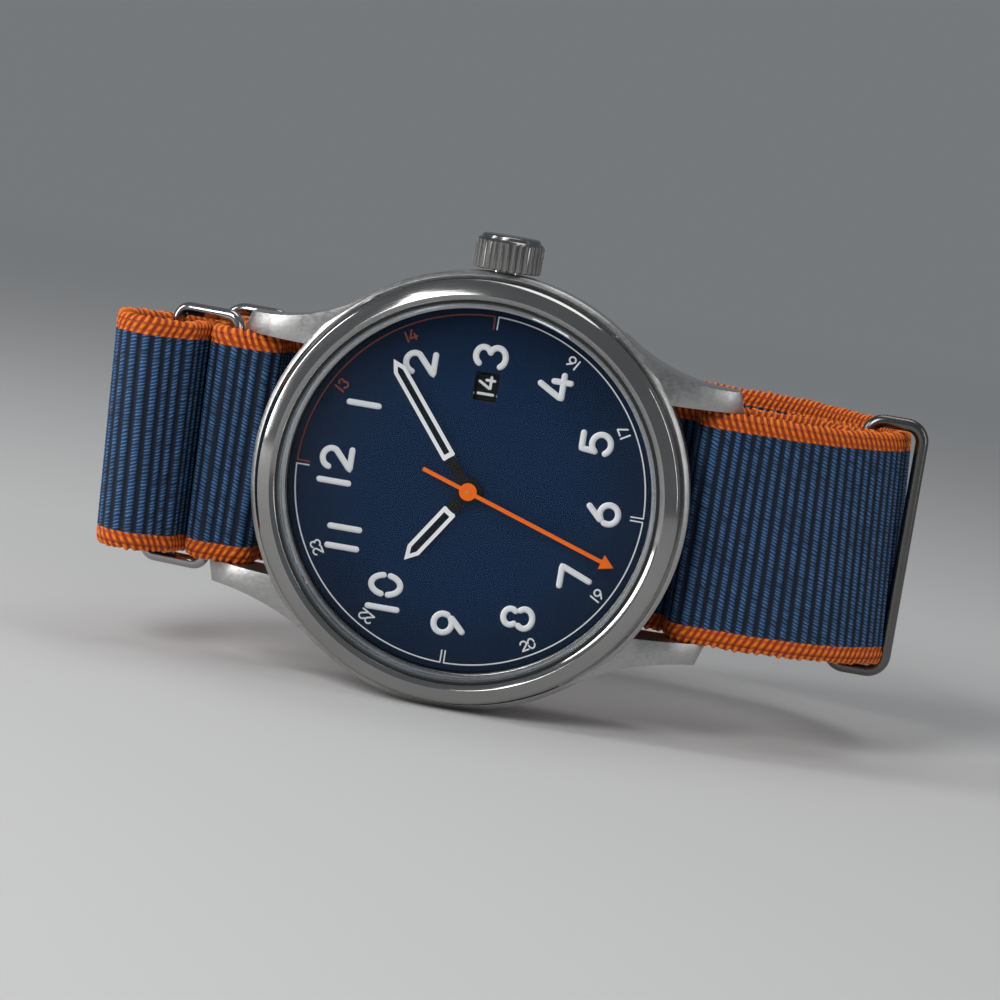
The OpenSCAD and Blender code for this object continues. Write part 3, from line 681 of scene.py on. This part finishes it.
webbing("main_webbing", [
    spot(-9.6, -1.0, 0), spot(-3.4, -0.2, 4), spot(EYE, -EYE, EYE - 0.02), spot(EYE, EYE, EYE - 0.02),
    (-21.2, 26.5, 14), (-23, 18.5, 20), (-26.8, 6.05, 1.8), (-20.75, 6.4, 1.5),
    (-20.2, UNDER_CASE, 1), (20.2, UNDER_CASE, 1), (20.75, 6.4, 1.5), (32.5, 7, 14),
    (40.2, 15, 10), (40, 28, 13), (30.5, 37.5, 14), (13, 41.2, 30), (-5.8, 37.7, 12),
    (-15.5, 36.6, 7), (-22.7, 27.2, 15), (-24.5, 18.7, 21), (-28.45, 5.4, 1.2),
    (-33.9, 1.7, 2.7), (-35.3, 9.6, 3), (-26.6, 18.2, 5), (-25.4, 26, 0)])
webbing("under_webbing", [
    (-21.9, 17.8, 0), (-23.4, 12.5, 2.2), (20, 12.4, 8), (28, 16.6, 12), (34.4, 16.85, 1.3),
    (37.1, 16.6, 1.3), (37.1, 13.75, 1.3), (34.2, 13.75, 1.3), (31.5, 15.2, 4), (24.5, 13.6, 0)])
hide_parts("main_strap")
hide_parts("under_strap")


STITCH_PITCH = 1.5  # from one stitch to the next
STITCH_LENGTH = 1.1
STITCH_R = 0.16  # half of the thread's thickness


def stitch(start, along, out, z):
    """Rings of points of one stitch, which starts at (x, y) and stands on the ribs."""
    verts = []
    for k in range(7):
        u = k / 6
        q = start + along * STITCH_LENGTH * u
        r = STITCH_R * math.sqrt(max(0.02, 1 - (2 * u - 1) ** 4))
        rise = 0.62 + 0.10 * math.sin(math.pi * u)
        for j in range(6):
            a = math.radians(60 * j)
            c = q + out * (rise + r * math.sin(a))
            verts.append((c[0], c[1], z + r * math.cos(a)))
    return verts


def stitching(name, rows):
    """Rows of short stitches on the webbing, each from one (x, y) to another at its z."""
    verts, faces = [], []
    for start, end, z in rows:
        a, b = np.array(start, float), np.array(end, float)
        length = np.linalg.norm(b - a)
        along = (b - a) / length
        out = np.array([-along[1], along[0]])
        for i in range(int(length / STITCH_PITCH)):
            base = len(verts)
            verts += stitch(a + along * (i * STITCH_PITCH + 0.2), along, out, z)
            for k in range(6):
                for j in range(6):
                    near, far = base + k * 6, base + (k + 1) * 6
                    faces.append((near + j, near + (j + 1) % 6, far + (j + 1) % 6, far + j))
    obj = add_mesh(name, verts, faces, MATS["thread"])
    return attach(obj, "case")


row_start, row_end = spot(-9.2, 0.35, 0)[:2], spot(-3.6, 0.95, 0)[:2]
stitching("buckle_stitching", [(row_start, row_end, z) for z in (-7.5, -3.75, 0, 3.75, 7.5)])

# ---- case ------------------------------------------------------------------

BEZEL_R = 19.75
bezel = lathe("bezel_finished", [
    (18.35, 0.03), (19.50, 0.70), (BEZEL_R, 0.98), (BEZEL_R, 3.18), (18.72, 3.18), (18.72, 2.02),
    (17.05, 2.02), (17.05, 1.62), (17.84, 1.62), (17.84, 0.42)], MATS["bezel"], 0.07)
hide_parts("bezel")
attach(bezel, "case")

SOFT_EDGES = {"case_middle": (0.07, "case_steel"), "caseback": (0.08, "case_steel"),
              "crown": (0.03, "crown_steel")}
for node, (width, finish) in SOFT_EDGES.items():
    finished = edge_softened(node, width)
    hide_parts(node)
    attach(finished, frame["nodes"][node]["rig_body"])
    finished.data.materials.clear()
    finished.data.materials.append(MATS[finish])

# nodes that look unlike their slot's other nodes
OWN_FINISH = {"minute_hand": "minute_white", "keeper_front": "wire_steel",
              "keeper_rear": "wire_steel", "buckle_frame": "wire_steel",
              "buckle_tongue": "wire_steel"}
slots = {s["node"]: s["material_slot"] for s in frame["record"]["subparts"]}
for node, obj in frame["nodes"].items():
    mat = MATS[OWN_FINISH.get(node, slots[node])]
    if not obj.data.materials:
        obj.data.materials.append(mat)
    for i in range(len(obj.data.materials)):
        obj.data.materials[i] = mat

# ---- floor, lights and camera ----------------------------------------------

BACKDROP = rgb(0.90, 0.95, 1.0)
BACKDROP_LIGHT = 0.20
FLOOR_FADE = (100.0, 750.0)  # the floor fades into the backdrop between these distances
FLOOR_SIZE = 60000.0
FLOOR_GAP = 0.02  # below the lowest point
low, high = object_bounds()
bpy.ops.mesh.primitive_plane_add(size=FLOOR_SIZE * MM, location=(0, 0, low.z - FLOOR_GAP * MM))
floor = bpy.context.object
floor.name = "floor"
pale = Nodes("floor_pale")
x, y, _ = pale.split(pale.coords())
far = pale.fit(pale.radius(x, y), FLOOR_FADE[0] * MM, FLOOR_FADE[1] * MM, smooth=True)
pale.set(Base_Color=pale.mix(far, rgb(0.66, 0.655, 0.65), rgb(0, 0, 0)), Roughness=0.9,
         Specular_IOR_Level=0.0, Emission_Color=BACKDROP,
         Emission_Strength=pale.math("MULTIPLY", far, BACKDROP_LIGHT))
floor.data.materials.append(pale.mat)

world = bpy.data.worlds.new("studio")
bpy.context.scene.world = world
world.use_nodes = True
world.node_tree.nodes["Background"].inputs[0].default_value = BACKDROP
world.node_tree.nodes["Background"].inputs[1].default_value = BACKDROP_LIGHT


def soft_light(name, at, aim, size, power):
    """A rectangular lamp at a place, turned to a point, with its power in watts."""
    light = bpy.data.lights.new(name, "AREA")
    light.shape = "RECTANGLE"
    light.size, light.size_y = size[0] * MM, size[1] * MM
    light.energy = power
    obj = bpy.data.objects.new(name, light)
    bpy.context.scene.collection.objects.link(obj)
    obj.location = Vector(at) * MM
    obj.rotation_euler = (Vector(aim) - Vector(at)).to_track_quat("-Z", "Y").to_euler()


soft_light("key", (-170, -330, 260), (0, 5, 0), (160, 200), 0.95)
soft_light("right", (330, -90, 110), (0, 5, 0), (40, 240), 0.14)
soft_light("left", (-330, -80, 120), (0, 5, 0), (70, 260), 0.55)
soft_light("top", (40, 60, 330), (0, 15, 0), (260, 120), 0.22)

# the photo's view: the camera looks at the origin, then moves sideways and up in its own plane
AZIMUTH, ELEVATION, ROLL, DISTANCE = 4.85, 6.9, 9.22, 300.0
SHIFT_RIGHT, SHIFT_UP = 3.2, -0.51
azimuth, elevation, roll = (math.radians(v) for v in (AZIMUTH, ELEVATION, ROLL))
back = Vector((math.sin(azimuth) * math.cos(elevation), -math.cos(azimuth) * math.cos(elevation),
               math.sin(elevation)))
level_right = (-back).cross(Vector((0, 0, 1))).normalized()
level_up = level_right.cross(-back)
right = level_right * math.cos(roll) + level_up * math.sin(roll)
up = -level_right * math.sin(roll) + level_up * math.cos(roll)
camera = bpy.data.objects.new("camera", bpy.data.cameras.new("camera"))
bpy.context.scene.collection.objects.link(camera)
camera.data.lens = 117.33
camera.data.sensor_width = 36.0
camera.data.clip_start, camera.data.clip_end = 0.01, 20.0
basis = camera.matrix_world.to_3x3()
basis.col[0], basis.col[1], basis.col[2] = right, up, back
camera.matrix_world = basis.to_4x4()
camera.location = (back * DISTANCE + right * SHIFT_RIGHT + up * SHIFT_UP) * MM
bpy.context.scene.camera = camera
bpy.context.scene.view_settings.view_transform = "Standard"
